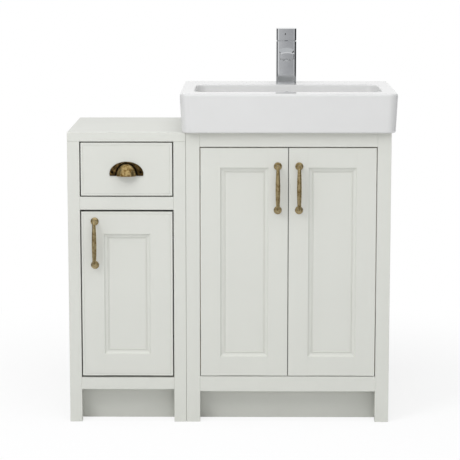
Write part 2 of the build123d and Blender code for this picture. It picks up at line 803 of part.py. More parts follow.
def make_waste():
    ring = rod(0, -overflow_rim_t, 0, "y", overflow_r, overflow_rim_t)
    ring = fillet(ring.edges().group_by(Axis.Y)[0], overflow_rim_t * 0.6)
    ring += rod(0, 0, 0, "y", overflow_hole_r, overflow_bite)
    ring -= rod(0, -overflow_rim_t, 0, "y", overflow_hole_r - overflow_rim_t,
                overflow_bite + overflow_rim_t)
    save("overflow_ring", overflow_place() * ring)

    top_z = rim_z - bowl_depth
    low_z = top_z - waste_length
    place = Pos(basin_x, waste_y(), 0)
    body = rod(0, 0, low_z, "z", waste_tube_r, waste_length)
    body += rod(0, 0, top_z - waste_flange_t, "z", waste_flange_r, waste_flange_t)
    relief = rod(0, 0, low_z + waste_trap_l, "z", waste_tube_r, waste_relief_w)
    relief -= rod(0, 0, low_z + waste_trap_l, "z", waste_tube_r - waste_relief_depth,
                  waste_relief_w)
    body -= relief
    body -= rod(0, 0, low_z, "z", waste_bore_r, waste_length)
    hub_z = top_z - spider_drop - spider_h
    hub_r = plug_stem_r + spider_arm
    for turn in (0, 90):
        reach = waste_bore_r + spider_bite
        body += Rot(0, 0, turn) * box(-reach, reach, -spider_arm / 2, spider_arm / 2,
                                      hub_z, hub_z + spider_h)
    body += rod(0, 0, hub_z, "z", hub_r, spider_h)
    body -= rod(0, 0, hub_z, "z", plug_stem_r + plug_fit, spider_h)
    save("waste_body", place * body)

    plug_z = top_z + plug_seat_gap
    plug = rod(0, 0, plug_z, "z", plug_r, plug_t)
    plug = fillet(plug.edges().group_by(Axis.Z)[-1], plug_crown)
    plug += rod(0, 0, plug_z - plug_stem_l, "z", plug_stem_r, plug_stem_l)
    save("waste_plug", place * plug)

    nut_z = top_z - bowl_wall - nut_t
    with BuildSketch(Plane((0, 0, nut_z))) as hexagon:
        RegularPolygon(nut_r, 6)
        Circle(waste_tube_r + insert_fit, mode=Mode.SUBTRACT)
    save("waste_nut", place * extrude(hexagon.sketch, nut_t))


def tap_block(z0, height):
    """A rounded square prism on the tap's axis."""
    return Pos(0, 0, z0) * extrude(RectangleRounded(tap_w, tap_w, tap_corner_r), height)


def make_tap():
    place = Pos(basin_x, cabinet_d - tap_wall_gap, rim_z)
    body = tap_block(0, tap_body_h)
    body = chamfer(body.edges().group_by(Axis.Z)[-1], tap_v_groove)
    well_r = stem_base_r + 2 * stem_fit
    body -= rod(0, 0, tap_body_h - stem_base_h, "z", well_r, stem_base_h)
    body += rod(0, 0, -tap_shank_l, "z", tap_shank_r, tap_shank_l)
    for x in (-inlet_pitch / 2, inlet_pitch / 2):
        body -= rod(x, 0, -tap_shank_l, "z", inlet_r, inlet_depth)
    tip_y = aerator_back - spout_reach
    low_z = spout_bottom(tip_y) - aerator_out
    aerator_l = aerator_out + aerator_in
    pocket = rod(0, tip_y, low_z, "z", aerator_r + insert_fit, aerator_l + aerator_end_gap)
    save("tap_body", place * body, place * (spout() - pocket))

    aerator = rod(0, tip_y, low_z, "z", aerator_r, aerator_l)
    aerator -= rod(0, tip_y, low_z, "z", aerator_hole_r, aerator_hollow)
    save("tap_aerator", place * aerator)

    stem = rod(0, 0, tap_body_h - stem_base_h + stem_seat_gap, "z", stem_base_r,
               stem_base_h - stem_seat_gap)
    stem += box(-stem_post / 2, stem_post / 2, -stem_post / 2, stem_post / 2,
                tap_body_h, tap_body_h + stem_post_h)
    cavity_half = tap_w / 2 - handle_wall
    pin_z = tap_body_h + stem_pin_z
    pin_half = cavity_half - stem_pin_end_gap
    stem += rod(-pin_half, 0, pin_z, "x", stem_pin_r, 2 * pin_half)
    save("tap_stem", place * stem)
    save("tap_handle", place * tap_handle(cavity_half, pin_z))

    under_z = -deck_t - tap_nut_t
    nut = rod(0, 0, under_z, "z", tap_nut_r, tap_nut_t)
    nut -= rod(0, 0, under_z, "z", tap_shank_r + insert_fit, tap_nut_t)
    save("tap_nut", place * nut)


def tap_handle(cavity_half, pin_z):
    """Block handle, hollow below, cut away behind so that its front can lift."""
    z0 = tap_body_h + tap_v_gap
    handle = tap_block(z0, tap_handle_h - tap_v_gap)
    handle = chamfer(handle.edges().group_by(Axis.Z)[0], tap_v_groove)
    handle = fillet(handle.edges().group_by(Axis.Z)[-1], tap_v_groove / 2)
    top_z = tap_body_h + tap_handle_h
    cavity_top = top_z - handle_top_t
    handle -= box(-cavity_half, cavity_half, -cavity_half, cavity_half, z0, cavity_top)
    slot = stem_post / 2 + stem_post_play
    for x0, x1 in ((-cavity_half, -slot), (slot, cavity_half)):
        handle += box(x0, x1, -handle_boss_w / 2, handle_boss_w / 2,
                      z0 + handle_boss_up, cavity_top)
    handle -= rod(-cavity_half, 0, pin_z, "x", stem_pin_r + stem_fit, 2 * cavity_half)
    wedge = box(-tap_w, tap_w, 0, 2 * tap_w, -2 * tap_w, 0)
    return handle - Pos(0, 0, z0) * Rot(handle_tilt, 0, 0) * wedge


def spout_bottom(y):
    """Height of the spout's underside above the deck at a distance y from the tap's axis."""
    share = min(1.0, max(0.0, (-y - tap_w / 2) / (spout_reach - tap_w / 2)))
    root = spout_root_top - spout_root_h
    tip = spout_tip_top - spout_tip_h
    return root + share * (tip - root)


def spout():
    """Spout with a crowned top that slopes gently down to its tip."""
    root_y = -tap_w / 2
    tip_y = -spout_reach
    sections = []
    for y, top, height in ((root_y, spout_root_top, spout_root_h),
                           (tip_y, spout_tip_top, spout_tip_h)):
        plane = Plane((0, y, top - height), x_dir=(1, 0, 0), z_dir=(0, -1, 0))
        half = spout_w / 2
        side_h = height - spout_crown
        with BuildSketch(plane) as section:
            with BuildLine():
                Polyline((-half, side_h), (-half, 0), (half, 0), (half, side_h))
                ThreePointArc((half, side_h), (0, height), (-half, side_h))
            make_face()
        sections.append(section.sketch)
    bar = loft(sections, ruled=True)
    front_edges = bar.faces().sort_by(Axis.Y)[0].edges()
    return fillet(front_edges, spout_tip_r)


cupboard_carcass()
vanity_carcass()
packing()
make_runners()
make_drawer()

cupboard_opening = cupboard_w - 2 * cupboard_stile_w
vanity_opening = vanity_w - 2 * vanity_stile_w
cupboard_door_w = cupboard_opening - 2 * cupboard_gap
cupboard_door_z0 = cupboard_rail_top + cupboard_bottom_gap
cupboard_door_z1 = middle_rail_z0 - cupboard_bottom_gap
cupboard_door_h = cupboard_door_z1 - cupboard_door_z0
vanity_door_w = (vanity_opening - 3 * vanity_gap) / 2
vanity_door_z0 = vanity_rail_top + vanity_bottom_gap
vanity_door_z1 = cabinet_h - vanity_top_rail_h - vanity_top_gap
vanity_door_h = vanity_door_z1 - vanity_door_z0
cupboard_door_x = cupboard_stile_w + cupboard_gap
left_door_x = vanity_x0 + vanity_stile_w + vanity_gap
right_door_x = left_door_x + vanity_door_w + vanity_gap

make_door("cupboard_door", cupboard_door_x, cupboard_door_z0, cupboard_door_w, cupboard_door_h,
          cupboard_door_flat, True, cupboard_hinge_end, True)
make_door("left_door", left_door_x, vanity_door_z0, vanity_door_w, vanity_door_h,
          vanity_door_flat, False, vanity_hinge_end, False)
make_door("right_door", right_door_x, vanity_door_z0, vanity_door_w, vanity_door_h,
          vanity_door_flat, True, vanity_hinge_end, False)
make_hinges([
    ("cupboard_door", cupboard_door_x, cupboard_door_z0, cupboard_door_w, cupboard_door_h,
     cupboard_gap, True, cupboard_hinge_end),
    ("left_door", left_door_x, vanity_door_z0, vanity_door_w, vanity_door_h,
     vanity_gap, False, vanity_hinge_end),
    ("right_door", right_door_x, vanity_door_z0, vanity_door_w, vanity_door_h,
     vanity_gap, True, vanity_hinge_end)])

vanity_bar_z = vanity_door_z1 - vanity_bar_drop
save("cupboard_door_handle",
     bar_handle(cupboard_door_x + cupboard_bar_inset, cupboard_door_z1 - cupboard_bar_drop))
save("left_door_handle", bar_handle(left_door_x + vanity_door_w - vanity_bar_inset, vanity_bar_z))
save("right_door_handle", bar_handle(right_door_x + vanity_bar_inset, vanity_bar_z))

make_basin()
make_waste()
make_tap()
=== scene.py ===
import json
import math

import bmesh
import bpy
import numpy as np
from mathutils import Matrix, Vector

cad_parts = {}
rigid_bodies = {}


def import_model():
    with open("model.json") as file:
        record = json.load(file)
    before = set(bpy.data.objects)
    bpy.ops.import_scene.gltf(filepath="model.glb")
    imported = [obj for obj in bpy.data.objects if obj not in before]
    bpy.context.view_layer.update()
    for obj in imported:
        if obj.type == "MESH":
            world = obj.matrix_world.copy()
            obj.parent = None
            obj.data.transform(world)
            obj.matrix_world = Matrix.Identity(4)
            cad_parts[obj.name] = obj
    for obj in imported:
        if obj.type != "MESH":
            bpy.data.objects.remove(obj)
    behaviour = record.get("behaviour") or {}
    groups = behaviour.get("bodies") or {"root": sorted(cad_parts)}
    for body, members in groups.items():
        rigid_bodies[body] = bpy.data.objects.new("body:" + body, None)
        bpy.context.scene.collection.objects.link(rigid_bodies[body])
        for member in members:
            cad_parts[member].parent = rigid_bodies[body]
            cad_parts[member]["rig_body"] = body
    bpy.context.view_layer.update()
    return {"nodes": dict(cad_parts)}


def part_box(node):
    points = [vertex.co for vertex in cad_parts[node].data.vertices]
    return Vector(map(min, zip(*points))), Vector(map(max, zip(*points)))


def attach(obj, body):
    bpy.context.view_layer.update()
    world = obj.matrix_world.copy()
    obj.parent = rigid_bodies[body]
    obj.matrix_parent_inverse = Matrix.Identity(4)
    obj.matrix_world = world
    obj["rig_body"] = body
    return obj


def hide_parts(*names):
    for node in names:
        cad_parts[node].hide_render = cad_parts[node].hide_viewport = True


# A painted bathroom vanity with a ceramic basin and a mixer tap, and a drawer-over-door
# cupboard to its left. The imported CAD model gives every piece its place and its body.
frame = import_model()
scene = bpy.context.scene
scene.view_settings.view_transform = "Standard"


# The studio: a white sweep under soft light, with the camera a little above the basin's
# rim, as in the photograph. A broad soft lamp stands high at the upper left and the room
# gives an even fill. Grey boards round the unit show only in polished metal and glaze.

def linear(hex_colour):
    """An sRGB colour written as six hex digits, as the linear RGBA a shader takes."""
    srgb = np.array([int(hex_colour[i:i + 2], 16) for i in (0, 2, 4)]) / 255
    low = srgb / 12.92
    high = ((srgb + 0.055) / 1.055) ** 2.4
    return (*np.where(srgb <= 0.04045, low, high), 1.0)


def node(tree, kind, sockets=None, **settings):
    """Add one shader node, set its properties, then link or set its inputs by name."""
    made = tree.nodes.new(kind)
    for name, value in settings.items():
        setattr(made, name, value)
    for name, value in (sockets or {}).items():
        if isinstance(value, bpy.types.NodeSocket):
            tree.links.new(value, made.inputs[name])
        else:
            made.inputs[name].default_value = value
    return made


def new_material(name):
    """An empty node material, its tree, its output node and the object's coordinates."""
    made = bpy.data.materials.new(name)
    made.use_nodes = True
    tree = made.node_tree
    tree.nodes.clear()
    place = node(tree, "ShaderNodeTexCoord").outputs["Object"]
    return made, tree, node(tree, "ShaderNodeOutputMaterial"), place


def mesh_object(name, points, faces, *materials):
    """A mesh object at the origin from rows of points in metres and of corner numbers."""
    mesh = bpy.data.meshes.new(name)
    mesh.from_pydata(np.asarray(points).tolist(), [], faces)
    for material in materials:
        mesh.materials.append(material)
    made = bpy.data.objects.new(name, mesh)
    scene.collection.objects.link(made)
    return made


# camera: its place, tilt, turn and lens were fitted to the cabinets' edges in the photograph
tilt_down, turn_left = 8.844, 0.454
camera = bpy.data.objects.new("camera", bpy.data.cameras.new("camera"))
scene.collection.objects.link(camera)
camera.location = (0.0328, -5.0, 1.2506)
camera.rotation_euler = (math.radians(90 - tilt_down), 0, math.radians(turn_left))
camera.data.lens = 149.94
camera.data.sensor_width = 36
scene.camera = camera

# floor: matt white paper, drawn mostly from its own colour, and away from the unit's
# shadow wholly so, so that it meets the backdrop with no line
floor_radius, floor_sides = 9, 96
shadow_near, shadow_far, share_in_shadow = 0.5, 1.5, 0.78
floor_paper, tree, out, place = new_material("studio_floor_paper")
ray = node(tree, "ShaderNodeLightPath")
lit = node(tree, "ShaderNodeBsdfDiffuse", {"Color": linear("F4F4F4"), "Roughness": 1.0})
glow = node(tree, "ShaderNodeEmission", {"Color": linear("FFFFFF"), "Strength": 1.0})
away = node(tree, "ShaderNodeVectorMath", {0: place}, operation="LENGTH")
plain = node(tree, "ShaderNodeMapRange",
             {0: away.outputs["Value"], 1: shadow_near, 2: shadow_far,
              3: share_in_shadow, 4: 1.0}, interpolation_type="SMOOTHSTEP")
share = node(tree, "ShaderNodeMath",
             {0: ray.outputs["Is Camera Ray"], 1: plain.outputs[0]}, operation="MULTIPLY")
both = node(tree, "ShaderNodeMixShader",
            {0: share.outputs[0], 1: lit.outputs[0], 2: glow.outputs[0]})
tree.links.new(both.outputs[0], out.inputs["Surface"])
turn = np.linspace(0, 2 * np.pi, floor_sides, endpoint=False)
disc = np.stack([floor_radius * np.cos(turn), floor_radius * np.sin(turn),
                 np.zeros(floor_sides)], 1)
floor = mesh_object("studio_floor", disc, [list(range(floor_sides))], floor_paper)

# boards: seen only by polished metal and glaze, to give them the dark edges and the grey
# faces of the photograph. Each has its two near and two far corners and its grey.
boards = {"left": ([(-2.6, -1.6, 0), (-2.6, 1.6, 0), (-2.6, 1.6, 2.8), (-2.6, -1.6, 2.8)],
                   "3C3C3E"),
          "right": ([(2.6, -3.4, 0), (2.6, 1.6, 0), (2.6, 1.6, 2.8), (2.6, -3.4, 2.8)],
                    "39393B"),
          "front_left": ([(-0.6, -5.6, 0), (0.24, -5.6, 0), (0.24, -5.6, 1.9),
                          (-0.6, -5.6, 1.9)], "E2E2E3"),
          "front_right": ([(0.24, -5.6, 0), (1.1, -5.6, 0), (1.1, -5.6, 1.9),
                           (0.24, -5.6, 1.9)], "BEBEC0"),
          "low": ([(-1.5, -3.4, 0.01), (1.5, -3.4, 0.01), (1.5, -0.5, 0.01),
                   (-1.5, -0.5, 0.01)], "8C8B8D")}
for side, (corners, grey) in boards.items():
    board_grey, tree, out, _ = new_material(f"studio_board_{side}")
    dim = node(tree, "ShaderNodeEmission", {"Color": linear(grey), "Strength": 1.0})
    tree.links.new(dim.outputs[0], out.inputs["Surface"])
    board = mesh_object(f"studio_board_{side}", corners, [(0, 1, 2, 3)], board_grey)
    board.visible_camera = board.visible_diffuse = board.visible_shadow = False

# room: white to the camera and in reflections, and dimmer as light on matt surfaces
room_fill = 0.62
room = bpy.data.worlds.new("studio_room")
room.use_nodes = True
scene.world = room
tree = room.node_tree
tree.nodes.clear()
ray = node(tree, "ShaderNodeLightPath")
shown = node(tree, "ShaderNodeMath",
             {0: ray.outputs["Is Camera Ray"], 1: ray.outputs["Is Glossy Ray"]},
             operation="MAXIMUM")
shown = node(tree, "ShaderNodeMath",
             {0: shown.outputs[0], 1: ray.outputs["Is Transmission Ray"]},
             operation="MAXIMUM")
fill = node(tree, "ShaderNodeBackground", {"Color": linear("F7F8FA"), "Strength": room_fill})
white = node(tree, "ShaderNodeBackground", {"Color": linear("FFFFFF"), "Strength": 1.0})
both = node(tree, "ShaderNodeMixShader",
            {0: shown.outputs[0], 1: fill.outputs[0], 2: white.outputs[0]})
tree.links.new(both.outputs[0], node(tree, "ShaderNodeOutputWorld").inputs["Surface"])


def lamp(name, place, aim, width, watts):
    """A square soft lamp at one point, turned to shine at another."""
    light = bpy.data.lights.new(name, "AREA")
    light.size = width
    light.energy = watts
    made = bpy.data.objects.new(name, light)
    scene.collection.objects.link(made)
    made.location = place
    beam = np.subtract(aim, place)
    made.rotation_euler = (math.acos(-beam[2] / np.linalg.norm(beam)), 0,
                           math.atan2(beam[1], beam[0]) - math.pi / 2)
    made.visible_glossy = False


lamp("key_lamp", (-1.9, -2.6, 2.9), (0, 0, 0.5), width=1.5, watts=40)
lamp("top_lamp", (0.3, -1.2, 3.4), (0, 0, 0.6), width=2.2, watts=27)
lamp("low_lamp", (0.3, -3.4, 0.35), (0, 0, 0.2), width=1.8, watts=15)


# Carcass and face frames: softwood and MDF, spray painted in a pale warm grey satin. The
# paint lies in a fine even orange peel over every joint, so that no frame joint shows.

weld_distance = 1e-6                # metres: corners nearer than this are one corner
flat_angle = math.radians(0.4)      # faces that meet flatter than this become one face
crease_angle = math.radians(30)     # edges sharper than this are eased or kept sharp
eased_edge = 0.00025                # metres: the width of an eased edge


def noise(tree, place, per_metre, detail, **more):
    """Soft noise with so many waves to a metre. Its level lies mostly in 0.3 to 0.7."""
    return node(tree, "ShaderNodeTexNoise",
                {"Vector": place, "Scale": per_metre, "Detail": detail, **more}).outputs[0]


def ranged(tree, level, low, high, least=0.3, most=0.7):
    """A level that runs from least to most, as a value that runs from low to high."""
    return node(tree, "ShaderNodeMapRange",
                {0: level, 1: least, 2: most, 3: low, 4: high}).outputs[0]


def shaded(tree, colour, value):
    """A colour in hex digits, made lighter or darker by a value near 1."""
    return node(tree, "ShaderNodeHueSaturation",
                {"Color": linear(colour), "Value": value}).outputs[0]


def relief(tree, height, strength, depth):
    """A surface that rises and falls with a height pattern, over a depth in metres."""
    return node(tree, "ShaderNodeBump",
                {"Height": height, "Strength": strength, "Distance": depth}).outputs[0]


def coat(tree, out, colour, rough, normal, metal=0.0):
    """The material's outer skin, linked to its output."""
    skin = node(tree, "ShaderNodeBsdfPrincipled",
                {"Base Color": colour, "Metallic": metal, "Roughness": rough,
                 "Normal": normal})
    tree.links.new(skin.outputs[0], out.inputs["Surface"])


def paint(name, colour, mottle):
    """Satin paint: sprayed pigment in binder, with a faint cloudiness and orange peel."""
    made, tree, out, place = new_material(name)
    cloud = noise(tree, place, per_metre=7.0, detail=4.0, Roughness=0.6)
    speck = noise(tree, place, per_metre=900.0, detail=2.0)
    both = node(tree, "ShaderNodeMath", {0: cloud, 1: speck}, operation="ADD").outputs[0]
    tone = ranged(tree, both, 1 - mottle, 1 + mottle, least=0.6, most=1.4)
    peel = noise(tree, place, per_metre=420.0, detail=2.0)
    coat(tree, out, shaded(tree, colour, tone), ranged(tree, cloud, 0.40, 0.50),
         relief(tree, peel, strength=0.12, depth=0.0006))
    return made


def shade_evenly(made):
    """Let large faces lead the shading, so that narrow ones beside them do not tilt it."""
    even = made.modifiers.new("even_shading", "WEIGHTED_NORMAL")
    even.keep_sharp = True


def merged_copy(name, material, bevel=eased_edge):
    """A CAD node's mesh with its triangles joined, flats dissolved and edges eased."""
    source = frame["nodes"][name]
    mesh = source.data.copy()
    mesh.materials.clear()
    mesh.materials.append(material)
    shape = bmesh.new()
    shape.from_mesh(mesh)
    bmesh.ops.remove_doubles(shape, verts=shape.verts, dist=weld_distance)
    bmesh.ops.dissolve_limit(shape, angle_limit=flat_angle, verts=shape.verts,
                             edges=shape.edges)
    shape.to_mesh(mesh)
    shape.free()
    mesh.shade_smooth()
    made = bpy.data.objects.new(f"{name}_finish", mesh)
    scene.collection.objects.link(made)
    if bevel:
        edge = made.modifiers.new("eased_edges", "BEVEL")
        edge.width = bevel
        edge.segments = 2
        edge.limit_method = "ANGLE"
        edge.angle_limit = crease_angle
        shade_evenly(made)
    else:
        mesh.set_sharp_from_angle(angle=crease_angle)
    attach(made, source["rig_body"])
    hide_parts(name)


satin_paint = paint("satin_paint_on_mdf", "D9DAD3", mottle=0.012)
for name in ("cupboard_top", "cupboard_left_side", "cupboard_right_side",
             "cupboard_left_stile", "cupboard_right_stile", "cupboard_middle_rail",
             "cupboard_bottom_rail", "vanity_left_side", "vanity_right_side",
             "vanity_left_stile", "vanity_right_stile", "vanity_top_rail",
             "vanity_bottom_rail"):
    merged_copy(name, satin_paint)

# plinths: the carcass paint on the recessed toe boards, cloudier where it is scuffed, with
# its colour a little darker as painted shade of the toe recess
plinth_paint_with_painted_shade = paint("scuffed_satin_paint_with_painted_shade", "D6D7D0", mottle=0.03)
for name in ("cupboard_plinth", "vanity_plinth"):
    merged_copy(name, plinth_paint_with_painted_shade)


# Doors and drawer front: frame-and-panel doors with a sprung moulding mitred round a flat
# panel, painted as the carcass is, after they were put together.

door_edge = 0.0002
for door in ("cupboard_door", "left_door", "right_door"):
    for part in ("stiles", "rails", "panel"):
        merged_copy(f"{door}_{part}", satin_paint, door_edge)
merged_copy("drawer_front", satin_paint)


# Panel beads: a pinned bead, 2 mm wide, mitred round each panel 1.3 mm inside the moulding,
# so that a quirk line shows between them. Painted over with the door.

def grid_faces(rows, columns, wrap=False, join=False):
    """Corner numbers of the quads between rows of points; wrap closes each row into a
    loop, and join ties the last row to the first."""
    row, column = np.meshgrid(np.arange(rows - (not join)),
                              np.arange(columns - (not wrap)), indexing="ij")
    beside = (column + 1) % columns
    above = (row + 1) % rows
    quads = [row * columns + column, row * columns + beside,
             above * columns + beside, above * columns + column]
    return np.stack(quads, -1).reshape(-1, 4).tolist()


def finish(made, body, slot, *replaced, sharp=40, closed=True):
    """Merge seams and poles, point faces outwards, smooth, and tie the piece to its body."""
    shape = bmesh.new()
    shape.from_mesh(made.data)
    bmesh.ops.remove_doubles(shape, verts=shape.verts, dist=weld_distance)
    if closed:
        bmesh.ops.recalc_face_normals(shape, faces=shape.faces)
    shape.to_mesh(made.data)
    shape.free()
    made.data.shade_smooth()
    made.data.set_sharp_from_angle(angle=math.radians(sharp))
    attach(made, body)
    if replaced:
        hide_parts(*replaced)


panel_edge_hidden = 0.0165      # of the panel's edge, behind the frame and its moulding
bead_profile = np.array([(1.3, 0.0), (1.3, 0.9), (1.7, 1.3), (2.4, 1.45), (3.0, 1.2),
                         (3.4, 0.7), (3.5, 0.0)]) / 1000


def panel_bead(door):
    """Rows are points of the profile, each a rectangle drawn in from the opening by the
    profile's first number and raised from the panel by its second."""
    lo, hi = (np.array(corner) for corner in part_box(f"{door}_panel"))
    inset = panel_edge_hidden + bead_profile[:, 0]
    x = np.stack([lo[0] + inset, hi[0] - inset, hi[0] - inset, lo[0] + inset], 1)
    z = np.stack([lo[2] + inset, lo[2] + inset, hi[2] - inset, hi[2] - inset], 1)
    y = np.repeat(lo[1] - bead_profile[:, 1:], 4, 1)
    made = mesh_object(f"{door}_panel_bead", np.stack([x, y, z], -1).reshape(-1, 3),
                       grid_faces(len(bead_profile), 4, wrap=True, join=True), satin_paint)
    finish(made, door, "painted_timber", sharp=25)


for door in ("cupboard_door", "left_door", "right_door"):
    panel_bead(door)


# Meeting seal: a strip of dark grey pile let into the left door's meeting edge, behind the 2
# mm gap between the doors, whose dark grey is painted shade for that gap. It clears the right
# door by 0.2 mm.

gap_shade_pile, tree, out, place = new_material("grey_pile_strip_painted_gap_shade")
tufts = noise(tree, place, per_metre=2200.0, detail=2.0)
# the pile's dark grey stands as painted shade in the gap between the doors
coat(tree, out, shaded(tree, "7C7C79", ranged(tree, tufts, 0.8, 1.1)), 0.9,
     relief(tree, tufts, strength=0.5, depth=0.0004))

# the profile is measured from the stile's edge and face; each of its points has a low and
# a high corner, and the ends stop short of the door's
seal_profile = np.array([(-0.1, 12), (-0.1, 4.5), (0.4, 3.8), (1.3, 3.8), (1.8, 4.5),
                         (1.8, 12)]) / 1000
short_by = 0.001
lo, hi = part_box("left_door_stiles")
seal_x = np.repeat(hi[0] + seal_profile[:, :1], 2, 1)
seal_y = np.repeat(lo[1] + seal_profile[:, 1:], 2, 1)
seal_z = np.repeat([[lo[2] + short_by, hi[2] - short_by]], len(seal_profile), 0)
ends = [list(range(0, seal_x.size, 2)), list(range(seal_x.size - 1, 0, -2))]
made = mesh_object("meeting_seal_painted_gap_shade", np.stack([seal_x, seal_y, seal_z], -1).reshape(-1, 3),
                   grid_faces(len(seal_profile), 2, join=True) + ends, gap_shade_pile)
finish(made, "left_door", "painted_timber", sharp=50)


# Inside boards: base, back and shelf of chipboard with a matt printed lining, pale as the
# paint, with a fine weave pressed in it.

lining, tree, out, place = new_material("lined_chipboard")
cloud = noise(tree, place, per_metre=9.0, detail=3.0)
weave = noise(tree, place, per_metre=650.0, detail=3.0)
coat(tree, out, shaded(tree, "D9D8D0", ranged(tree, cloud, 0.97, 1.02)), 0.6,
     relief(tree, weave, strength=0.2, depth=0.0004))
for name in ("cupboard_back", "cupboard_base", "cupboard_shelf", "drawer_bottom",
             "vanity_base", "vanity_wall_rails"):
    merged_copy(name, lining)


# Drawer sides, back and packing pieces: planed birch, lacquered, with its grain along the
# length of each piece.

def stretched(tree, place, along):
    """Coordinates whose pattern is drawn out along the axis with the smallest number."""
    return node(tree, "ShaderNodeMapping", {"Vector": place, "Scale": along}).outputs[0]


def mixed(tree, share, first, second):
    """A blend of two colours in hex digits, from the first at 0 to the second at 1."""
    return node(tree, "ShaderNodeMix", {0: share, 6: linear(first), 7: linear(second)},
                data_type="RGBA").outputs[2]


def birch(name, along):
    """Planed wood: grain lines drawn out along the piece, with fine pores between them."""
    made, tree, out, place = new_material(name)
    grain = stretched(tree, place, along)
    sway = noise(tree, grain, per_metre=30.0, detail=4.0, Distortion=0.6)
    pores = noise(tree, grain, per_metre=260.0, detail=3.0)
    figure = node(tree, "ShaderNodeMath", {0: sway, 1: pores}, operation="ADD").outputs[0]
    share = ranged(tree, figure, 0.0, 1.0, least=0.75, most=1.2)
    coat(tree, out, mixed(tree, share, "C8B08A", "DCCBAE"), 0.45,
         relief(tree, pores, strength=0.15, depth=0.0004))
    return made


birch_along = birch("lacquered_birch_along", (1.0, 0.06, 1.0))
birch_across = birch("lacquered_birch_across", (0.06, 1.0, 1.0))
birch_upright = birch("lacquered_birch_upright", (1.0, 1.0, 0.06))
for name, grain in (("drawer_sides", birch_along), ("drawer_back", birch_across),
                    ("runner_packers", birch_along), ("hinge_battens", birch_upright)):
    merged_copy(name, grain)


# Hinges, runners and shelf pegs: pressed steel, zinc or nickel plated, with a soft satin
# sheen and faint drawing lines.

plated, tree, out, place = new_material("nickel_plated_steel")
drawn = noise(tree, stretched(tree, place, (1.0, 0.05, 1.0)), per_metre=1400.0, detail=2.0)
coat(tree, out, linear("B4B5B6"), ranged(tree, drawn, 0.24, 0.38),
     relief(tree, drawn, strength=0.1, depth=0.0002), metal=1.0)
for name in ("cupboard_door_hinge_cups", "left_door_hinge_cups", "right_door_hinge_cups",
             "hinge_arms", "hinge_pins", "hinge_plates", "runner_cabinet_members",
             "runner_middle_members", "runner_drawer_members", "shelf_pegs"):
    merged_copy(name, plated, bevel=0)


# Handles: cast brass, aged brown and rubbed bright where hands touch it. A bow handle on
# each door is one turned bar, bent to two flared feet; the cup handle is on the drawer.

shared_origin = (417.75, 185.0, 0.0)    # mm from the cupboard's left front foot


def placed(points):
    """Points in mm from the cupboard's left front foot, as metres in the shared frame."""
    return (np.asarray(points) - shared_origin) / 1000


def aged_brass(name, bright, brown, wear):
    """Antiqued brass: a brown bath left in patches, polished through between them at random.
    """
    made, tree, out, place = new_material(name)
    patch = noise(tree, place, per_metre=130.0, detail=5.0, Roughness=0.65)
    fine = noise(tree, place, per_metre=900.0, detail=3.0)
    both = node(tree, "ShaderNodeMath", {0: fine, 1: 0.35, 2: patch},
                operation="MULTIPLY_ADD").outputs[0]
    share = ranged(tree, both, 0.0, 1.0, least=0.75 - wear, most=0.95 - wear)
    gloss = ranged(tree, share, 0.46, 0.30, least=0.0, most=1.0)
    coat(tree, out, mixed(tree, share, brown, bright), gloss,
         relief(tree, both, strength=0.12, depth=0.0003), metal=1.0)
    return made


rubbed_brass = aged_brass("rubbed_antique_brass", "BFAC82", "8B764C", wear=0.22)
bow_half, bow_reach, bow_bend = 56.0, 23.7, 9.0     # half length, reach and bend radius
bow_from_end = [0, 1.2, 2.0, 3.0, 4.5, 7.0, 11.0, 22.0, 30.0, 50.0, 73.0]
bow_radius = [10.3, 10.3, 9.8, 8.3, 6.6, 5.2, 4.5, 4.1, 4.6, 5.6, 6.1]
bow_sides = 32


def bow_handle(name, body, x, z):
    """A round bar carried along a bow: the path runs straight out from one foot, turns a
    quarter circle, runs down and comes back, and the radius is read along it from a
    table of distance and radius that is the same from both ends."""
    quarter = np.linspace(0, np.pi / 2, 13)
    foot = np.stack([np.linspace(0, -(bow_reach - bow_bend), 15), np.full(15, bow_half)], 1)
    corner = np.stack([-(bow_reach - bow_bend) - bow_bend * np.sin(quarter),
                       bow_half - bow_bend + bow_bend * np.cos(quarter)], 1)
    bar = np.stack([np.full(31, -bow_reach), np.linspace(bow_half - bow_bend, 0, 31)], 1)
    top_half = np.concatenate([foot, corner[1:], bar[1:]])
    path = np.concatenate([top_half, (top_half * (1, -1))[-2::-1]])
    step = np.linalg.norm(np.diff(path, axis=0), axis=1)
    along = np.concatenate([[0], np.cumsum(step)])
    from_end = np.minimum(along, along[-1] - along)
    radius = np.interp(from_end, bow_from_end, bow_radius)
    tangent = np.gradient(path, along, axis=0)
    tangent /= np.linalg.norm(tangent, axis=1)[:, None]
    turn = np.linspace(0, 2 * np.pi, bow_sides, endpoint=False)
    across = radius[:, None] * np.cos(turn)
    outward = radius[:, None] * np.sin(turn)
    y = path[:, :1] - outward * tangent[:, 1:]
    rise = path[:, 1:] + outward * tangent[:, :1]
    points = np.stack([x + across, y, z + rise], -1).reshape(-1, 3)
    numbers = list(range(len(points)))
    ends = [numbers[:bow_sides][::-1], numbers[-bow_sides:]]
    made = mesh_object(f"{name}_brass", placed(points),
                       grid_faces(len(path), bow_sides, wrap=True) + ends, rubbed_brass)
    finish(made, body, "antique_brass", name)


bow_handle("cupboard_door_handle", "cupboard_door", x=68.0, z=467.0)
bow_handle("left_door_handle", "left_door", x=533.5, z=608.5)
bow_handle("right_door_handle", "right_door", x=587.5, z=608.5)


# Cup handle: a pressed half dome on a half-oval plate, with a line blackened round the
# dome. Two slotted screws hold it through the drawer front.

